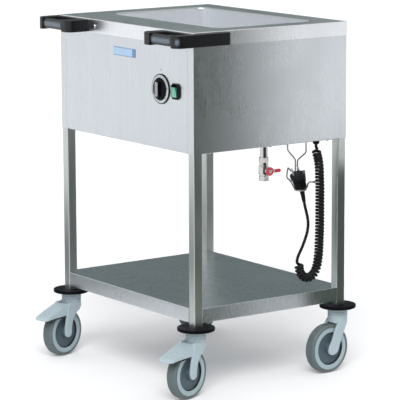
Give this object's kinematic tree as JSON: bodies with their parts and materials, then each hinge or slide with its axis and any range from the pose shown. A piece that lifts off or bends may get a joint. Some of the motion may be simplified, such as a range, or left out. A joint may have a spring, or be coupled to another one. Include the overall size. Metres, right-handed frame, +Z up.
{
  "type": "heated food trolley",
  "caption": "Stainless heated food trolley: cabinet with a deep open well, open lower shelf, braked swivel castors, corner handles, drain tap and curly mains lead.",
  "frame": {"origin": "on the floor under the middle of the whole footprint", "axes": "+X to the operator's right, +Y to the rear (knob and handles face -Y), +Z up"},
  "size_m": [0.6707, 0.6154, 0.9],
  "materials": {
    "stainless": "satin, fine vertical brushing",
    "well_steel": "polished",
    "bright_steel": "bright",
    "castor_plastic": "satin",
    "hub_plastic": "matt",
    "tread": "matt, grey rubber",
    "black_plastic": "semi-gloss",
    "knob_plastic": "semi-gloss",
    "dial": "satin",
    "green_lens": "translucent green",
    "badge": "satin, plain",
    "inner_plastic": "matt",
    "blanket": "mineral fibre mat",
    "valve_metal": "nickel plated",
    "lever_red": "red vinyl coated steel",
    "lead": "black"
  },
  "bodies": {
    "root": {"top_frame": "stainless", "well": "well_steel", "front_panel": "stainless", "side_panel_left": "stainless", "side_panel_right": "stainless", "rear_panel": "stainless", "bottom_panel": "stainless", "base_screws": "bright_steel", "leg_front_left": "stainless", "leg_front_right": "stainless", "leg_rear_left": "stainless", "leg_rear_right": "stainless", "lower_shelf": "stainless", "leg_plugs": "black_plastic", "bumper_discs": "black_plastic", "castor_stems": "bright_steel", "swivel_races": "bright_steel", "handle_left": "black_plastic", "handle_right": "black_plastic", "handle_screws": "bright_steel", "dial_ring": "dial", "thermostat_body": "inner_plastic", "switch_housing": "black_plastic", "badge_plate": "badge", "heater_element": "bright_steel", "insulation": "blanket", "terminal_block": "inner_plastic", "drain_pipe": "valve_metal", "valve_body": "valve_metal", "cable_gland": "black_plastic", "cord_coil": "lead", "cord_tail": "lead", "plug_body": "lead", "plug_pins": "bright_steel", "plug_holder": "bright_steel", "holder_tip": "black_plastic"},
    "castor_front_left": {"housing_front_left": "castor_plastic", "axle_front_left": "bright_steel"},
    "wheel_front_left": {"rim_front_left": "hub_plastic", "tyre_front_left": "tread"},
    "brake_front_left": {"pedal_front_left": "castor_plastic"},
    "castor_front_right": {"housing_front_right": "castor_plastic", "axle_front_right": "bright_steel"},
    "wheel_front_right": {"rim_front_right": "hub_plastic", "tyre_front_right": "tread"},
    "brake_front_right": {"pedal_front_right": "castor_plastic"},
    "castor_rear_left": {"housing_rear_left": "castor_plastic", "axle_rear_left": "bright_steel"},
    "wheel_rear_left": {"rim_rear_left": "hub_plastic", "tyre_rear_left": "tread"},
    "castor_rear_right": {"housing_rear_right": "castor_plastic", "axle_rear_right": "bright_steel"},
    "wheel_rear_right": {"rim_rear_right": "hub_plastic", "tyre_rear_right": "tread"},
    "knob": {"knob": "knob_plastic", "thermostat_spindle": "bright_steel"},
    "rocker": {"switch_rocker": "green_lens"},
    "valve": {"valve_ball": "valve_metal", "valve_lever": "lever_red"}
  },
  "joints": [
    {"name": "swivel_front_left", "type": "hinge", "parent": "root", "child": "castor_front_left", "pos_m": [-0.2851, -0.1891, 0.146], "axis": [0, 0, 1], "continuous": true},
    {"name": "roll_front_left", "type": "hinge", "parent": "castor_front_left", "child": "wheel_front_left", "pos_m": [-0.27463, -0.22563, 0.0625], "axis": [0.9613, 0.2756, 0], "continuous": true},
    {"name": "brake_front_left", "type": "hinge", "parent": "castor_front_left", "child": "brake_front_left", "pos_m": [-0.27628, -0.21986, 0.133], "axis": [-0.9613, -0.2756, 0], "range_deg": [0, 12]},
    {"name": "swivel_front_right", "type": "hinge", "parent": "root", "child": "castor_front_right", "pos_m": [0.2851, -0.1891, 0.146], "axis": [0, 0, 1], "continuous": true},
    {"name": "roll_front_right", "type": "hinge", "parent": "castor_front_right", "child": "wheel_front_right", "pos_m": [0.29557, -0.22563, 0.0625], "axis": [0.9613, 0.2756, 0], "continuous": true},
    {"name": "brake_front_right", "type": "hinge", "parent": "castor_front_right", "child": "brake_front_right", "pos_m": [0.29392, -0.21986, 0.133], "axis": [-0.9613, -0.2756, 0], "range_deg": [0, 12]},
    {"name": "swivel_rear_left", "type": "hinge", "parent": "root", "child": "castor_rear_left", "pos_m": [-0.2851, 0.2571, 0.146], "axis": [0, 0, 1], "continuous": true},
    {"name": "roll_rear_left", "type": "hinge", "parent": "castor_rear_left", "child": "wheel_rear_left", "pos_m": [-0.28179, 0.21924, 0.0625], "axis": [0.9962, 0.0872, 0], "continuous": true},
    {"name": "swivel_rear_right", "type": "hinge", "parent": "root", "child": "castor_rear_right", "pos_m": [0.2851, 0.2571, 0.146], "axis": [0, 0, 1], "continuous": true},
    {"name": "roll_rear_right", "type": "hinge", "parent": "castor_rear_right", "child": "wheel_rear_right", "pos_m": [0.28841, 0.21924, 0.0625], "axis": [0.9962, 0.0872, 0], "continuous": true},
    {"name": "knob_turn", "type": "hinge", "parent": "root", "child": "knob", "pos_m": [0.161, -0.2028, 0.751], "axis": [0, 1, 0], "range_deg": [0, 270]},
    {"name": "rocker_tip", "type": "hinge", "parent": "root", "child": "rocker", "pos_m": [0.225, -0.2028, 0.751], "axis": [-1, 0, 0], "range_deg": [0, 20]},
    {"name": "drain_lever", "type": "hinge", "parent": "root", "child": "valve", "pos_m": [0.221, 0.068, 0.53], "axis": [-1, 0, 0], "range_deg": [0, 90]}
  ]
}
